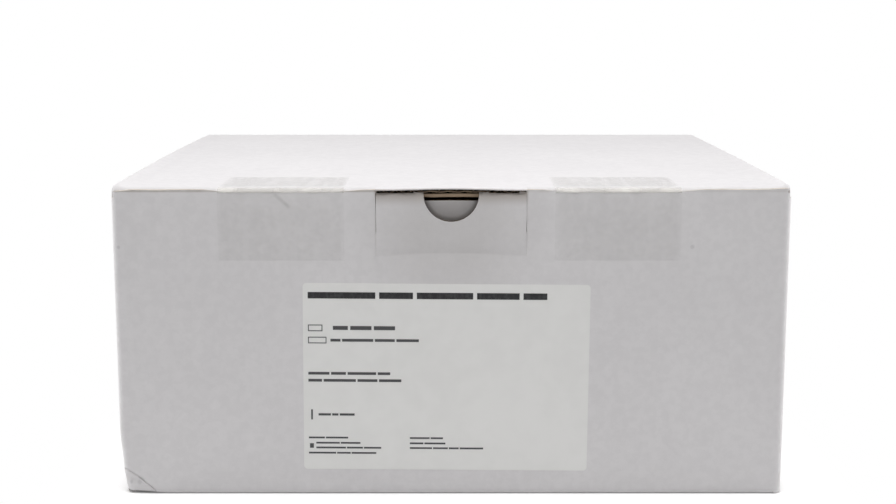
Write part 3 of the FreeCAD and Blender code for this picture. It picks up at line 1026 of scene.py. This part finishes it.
def print_ink():
    material, s, shader, place = finish("print_ink")
    cloud, fibre = paper(s, place)
    dark = s.blend(s.band(fibre, 0.4, 0.66), (0.020, 0.020, 0.022), (0.05, 0.05, 0.053))
    # the rows under the title are finer print, which reads as a softer grey
    small = s.zone(s.split(place)["Z"], 79.5, 79.0)
    colour = s.blend(small, dark, (0.085, 0.085, 0.088))
    coat(s, shader, colour, fibre, (0.45, 0.65), 0.3, fibre, 0.00002)
    return material


liner_finish = white_liner()
kraft_finish = kraft_liner()
edge_finish = cut_board()

# ---------------------------------------------------------------- the board's thickness ----
carton.vertex_groups.new(name="inner")
for material in (liner_finish, kraft_finish, edge_finish):
    carton.data.materials.append(material)
solidify = thicken(carton, board)
solidify.use_even_offset = True
solidify.material_offset = 1
solidify.material_offset_rim = 2
solidify.shell_vertex_group = "inner"
apply_all(carton)


def keep_depth(piece):
    """Keeps for each point whether it lies on the outer (0) or the inner (1) face."""
    depth = piece.data.attributes.new("depth", "FLOAT", "POINT")
    group = piece.vertex_groups["inner"].index
    for vert in piece.data.vertices:
        inside = [g.weight for g in vert.groups if g.group == group]
        depth.data[vert.index].value = inside[0] if inside else 0.0


keep_depth(carton)
done(carton, [])
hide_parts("carton")

# ---------------------------------------------------------------- the lid's front edge ----
tab_half = 29.97
tab_front = -123.0
lip_row = -119.0  # the liner's lip rises ahead of this
lip_bow = 0.54
lip_sag = 0.35
tab_parts = 16


def tab_columns():
    return [-tab_half + 2 * tab_half * k / tab_parts for k in range(tab_parts + 1)]


def lid_edge():
    """In the slot the lid ends in an open edge: a liner, flutes, and a curled-up brown liner."""
    skin = sheet(
        "lid_edge",
        (2 * tab_half, tuck_fold - tab_front),
        (0, (tuck_fold + tab_front) / 2, top),
    )
    edit(skin)
    for x in tab_columns()[1:-1]:
        cut("x", x, lambda p, n: True)
    cut("y", lip_row, lambda p, n: True)
    for x in tab_columns():
        bow = lip_bow * math.cos(x / tab_half * math.pi / 2) ** 2 - lip_sag
        shift(lambda p: p.y < lip_row - 0.5 and near(p.x, x), (0, 0, bow))
        shift(lambda p: near(p.y, lip_row) and near(p.x, x), (0, 0, 0.5 * max(0.0, bow)))
    close()
    skin.data.materials.append(liner_finish)
    skin.data.materials.append(edge_finish)
    thicken(skin, liner)
    apply_all(skin)

    wave = sheet("lid_flutes", (2 * tab_half, 3.6), (0, -117.6, top - 1.6))
    edit(wave)
    count = round(4 * 2 * tab_half / flute_pitch)
    step = 2 * tab_half / count
    for k in range(1, count):
        cut("x", -tab_half + k * step, lambda p, n: True)
    for k in range(count + 1):
        if k % 2:
            x = -tab_half + k * step
            rise = 0.25 if abs(x) < 13 else 0.85
            shift(lambda p: near(p.x, x), (0, 0, rise if k % 4 == 1 else -rise))
    close()
    wave.data.materials.append(kraft_finish)
    round_off = wave.modifiers.new("round", "SUBSURF")
    round_off.levels = 2
    round_off.render_levels = 2
    thicken(wave, 0.22, 0.0)
    apply_all(wave)

    underside = top - 3.35
    curl = sheet("lid_underside", (2 * tab_half, 3.0), (0, -117.3, underside))
    edit(curl)
    pull(
        lambda p, d: near(p.y, -118.8),
        (0, -0.6, 0.12),
        (0, -0.35, 0.42),
        (0, -0.05, 0.6),
    )
    for x in tab_columns()[1:-1]:
        cut("x", x, lambda p, n: True)
    shift(lambda p: near(p.x, -7.4, 0.5) and p.z > underside + 0.65, (0, 0, -0.2), 6.0)
    shift(lambda p: near(p.x, 11.1, 0.5) and p.z > underside + 0.65, (0, 0.2, -0.15), 6.0)
    close()
    curl.data.materials.append(kraft_finish)
    thicken(curl, 0.35)
    apply_all(curl)
    choose(wave, curl, skin)
    bpy.ops.object.join()
    return skin


done(lid_edge(), [])

# ---------------------------------------------------------------- strips of tape ----
film_run = (
    # y and z along the strip, from its lower end to its rear end
    (film_face, tape_low),
    (film_face, top - 2.3),
    (-122.45, top - 1.5),
    (-122.05, top - 0.8),
    (-121.2, top - 0.35),
    (-119.8, top - 0.1),
    (-117.5, top + 0.05),
    (-115.8, top + 0.1),
    (tape_back, top + 0.1),
)


def tape_film(name, left, right, wrinkles):
    """A strip over the lid's front edge: up the wall, round the cut edge, and onto the lid.

    Each wrinkle gives x, y, millimetres below the lid's face, a move and its reach.
    """
    start_y, start_z = film_run[0]
    rise = film_run[1][1] - start_z
    film = sheet(
        name,
        (right - left, rise),
        ((left + right) / 2, start_y, start_z + rise / 2),
        (math.pi / 2, 0.0, 0.0),
    )
    steps = [(0, y1 - y0, z1 - z0) for (y0, z0), (y1, z1) in zip(film_run[1:], film_run[2:])]
    edit(film)
    pull(lambda p, d: near(p.z, film_run[1][1]), *steps)
    for k in range(1, 20):
        cut("x", left + (right - left) * k / 20, lambda p, n: True)
    for level in (103, 108, 112, 115, 117.5, 119.5, 121.2, 122.8):
        cut("z", level, lambda p, n: p.y < film_face + 0.1)
    for level in (-112, -108, -102, -96, -90):
        cut("y", level, lambda p, n: p.z > top + 0.05)
    for x, y, below, move, reach in wrinkles:
        shift(lambda p: math.dist(p, (x, y, top - below)) < 1.5, move, reach)
    close()
    thicken(film, 0.08)
    apply_all(film)
    done(film, [film_finish], sharp=60.0)
    return film


film_finish = clear_film()
left_film = tape_film(
    "tape_film_left",
    *tape_reach[0],
    [
        (-66.0, film_face, 2.9, (0, -0.2, 0), 2.2),
        (-64.0, film_face, 4.5, (0, -0.25, 0), 2.2),
        (-61.5, film_face, 6.7, (0, -0.2, 0), 2.2),
        (-83.0, -122.2, 1.0, (0, -0.25, 0.2), 3.0),
        (-72.0, -122.2, 1.0, (0, -0.3, 0.15), 2.6),
        (-56.0, -122.2, 1.0, (0, -0.2, 0.25), 2.2),
        (-48.0, -121.2, 0.4, (0, 0.1, -0.15), 2.6),
    ],
)
right_film = tape_film(
    "tape_film_right",
    *tape_reach[1],
    [
        (49.5, film_face, 2.7, (0, -0.25, 0), 2.6),
        (60.5, -122.2, 1.0, (0, -0.2, 0.2), 2.8),
        (73.8, -122.2, 1.0, (0, -0.3, 0.2), 2.4),
        (84.0, -121.2, 0.4, (0, 0.1, -0.15), 3.0),
    ],
)
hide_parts("tape_left")
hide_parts("tape_right")

# ---------------------------------------------------------------- label and its print ----
for name, material in (("label", label_paper()), ("label_print", print_ink())):
    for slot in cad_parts[name].material_slots:
        slot.material = material

# ---------------------------------------------------------------- light, floor, camera ----
def link_to_scene(name, data, place, turn):
    thing = bpy.data.objects.new(name, data)
    bpy.context.scene.collection.objects.link(thing)
    thing.location = place
    thing.rotation_euler = turn
    return thing


def softbox(name, place, turn, size, power):
    light = bpy.data.lights.new(name, "AREA")
    light.shape = "RECTANGLE"
    light.size, light.size_y = size
    light.energy = power
    link_to_scene(name, light, place, turn)


def seen_rays(s):
    """1 for the rays that show the stage itself: from the camera, off gloss or through film."""
    path = s.add("ShaderNodeLightPath").outputs
    rays = ("Is Camera Ray", "Is Glossy Ray", "Is Transmission Ray")
    return s.each("MAXIMUM", *[path[ray] for ray in rays])


def white_floor():
    """Plain white, with a soft shadow beside the carton and a faint glow that stops under it."""
    material = bpy.data.materials.new("white_floor")
    material.use_nodes = True
    material.node_tree.nodes.clear()
    s = Shades(material.node_tree)
    place = s.add("ShaderNodeTexCoord").outputs["Object"]
    size = s.add("ShaderNodeVectorMath", {0: place}, operation="ABSOLUTE")
    outline = (half_width * mm, back * mm, 0.0)
    x, y, z = s.split(s.add("ShaderNodeVectorMath", {0: size, 1: outline}, operation="SUBTRACT"))
    off = s.math("MAXIMUM", x, y)
    sockets = {"Value": off, "From Min": -0.005, "From Max": -0.001, "To Max": 0.19}
    glow = s.add("ShaderNodeEmission", {"Strength": s.add("ShaderNodeMapRange", sockets)})
    shaded = s.add("ShaderNodeBsdfDiffuse", {"Color": (0.96, 0.96, 0.96, 1.0)})
    close_by = s.add("ShaderNodeAddShader", {0: shaded, 1: glow})
    far_off = s.add("ShaderNodeEmission")
    shown = s.add("ShaderNodeMixShader", {0: s.zone(off, 2.0, 30.0), 1: close_by, 2: far_off})
    lit = s.add("ShaderNodeBsdfDiffuse", {"Color": (0.8, 0.8, 0.8, 1.0)})
    s.add(
        "ShaderNodeOutputMaterial",
        {0: s.add("ShaderNodeMixShader", {0: seen_rays(s), 1: lit, 2: shown})},
    )
    return material


def white_world():
    """A white ground for the rays that show it, and a dimmer light for all others."""
    world = bpy.data.worlds.new("studio")
    bpy.context.scene.world = world
    world.use_nodes = True
    s = Shades(world.node_tree)
    white = (1.0, 1.0, 1.0, 1.0)
    dim = world.node_tree.nodes["Background"]
    s.put(dim.inputs["Color"], white)
    s.put(dim.inputs["Strength"], 0.215)
    shown = s.add("ShaderNodeBackground", {"Color": white, "Strength": 1.0})
    mixed = s.add("ShaderNodeMixShader", {0: seen_rays(s), 1: dim, 2: shown})
    s.put(world.node_tree.nodes["World Output"].inputs[0], mixed)


def stage():
    bpy.ops.mesh.primitive_plane_add(size=60.0, location=(0.0, 0.0, -0.0001))
    floor = bpy.context.object
    floor.name = "floor"
    floor.data.materials.append(white_floor())
    white_world()
    softbox("top_light", (0.0, -0.28, 0.9), (0.0, 0.0, 0.0), (0.8, 0.6), 6.55)
    for name, side in (("left_light", -1), ("right_light", 1)):
        turn = (0.0, side * math.pi / 2, 0.0)
        softbox(name, (side * 0.75, 0.12, 0.2), turn, (0.3, 0.5), 3.0)
    camera = bpy.data.cameras.new("camera")
    camera.lens = 59.58
    camera.sensor_width = 36.0
    look = (math.radians(90.0 - 9.575), 0.0, 0.0)
    eye = link_to_scene("camera", camera, (-0.0013, -0.7038, 0.1982), look)
    bpy.context.scene.camera = eye
    bpy.context.scene.view_settings.view_transform = "Standard"


stage()
